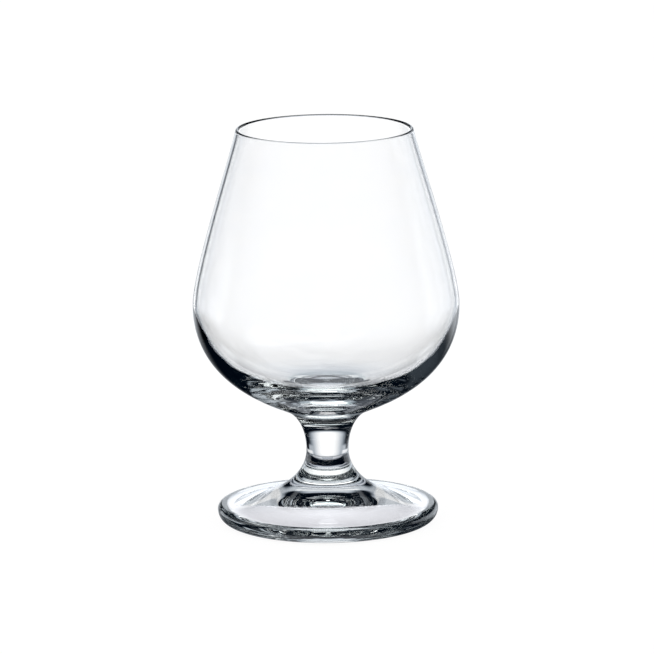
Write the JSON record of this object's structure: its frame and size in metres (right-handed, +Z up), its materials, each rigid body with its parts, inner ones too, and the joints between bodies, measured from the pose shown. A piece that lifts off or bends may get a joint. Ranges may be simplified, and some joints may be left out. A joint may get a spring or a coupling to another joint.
{
  "type": "brandy snifter",
  "caption": "Stemmed brandy glass with a large egg-shaped bowl that closes towards the rim, a short waisted stem and a round foot.",
  "frame": {"origin": "centre of the foot, in the plane that the foot rests on", "axes": "+Z up along the axis of the glass, from the foot to the rim; X and Y level, alike because the glass is round"},
  "size_m": [0.0916, 0.0916, 0.137],
  "materials": {
    "bowl_glass": "clear, blown and fire polished",
    "stem_glass": "clear, pressed and fire polished",
    "foot_glass": "clear, pressed and fire polished"
  },
  "bodies": {
    "root": {"bowl": "bowl_glass", "stem": "stem_glass", "foot": "foot_glass"}
  },
  "joints": []
}
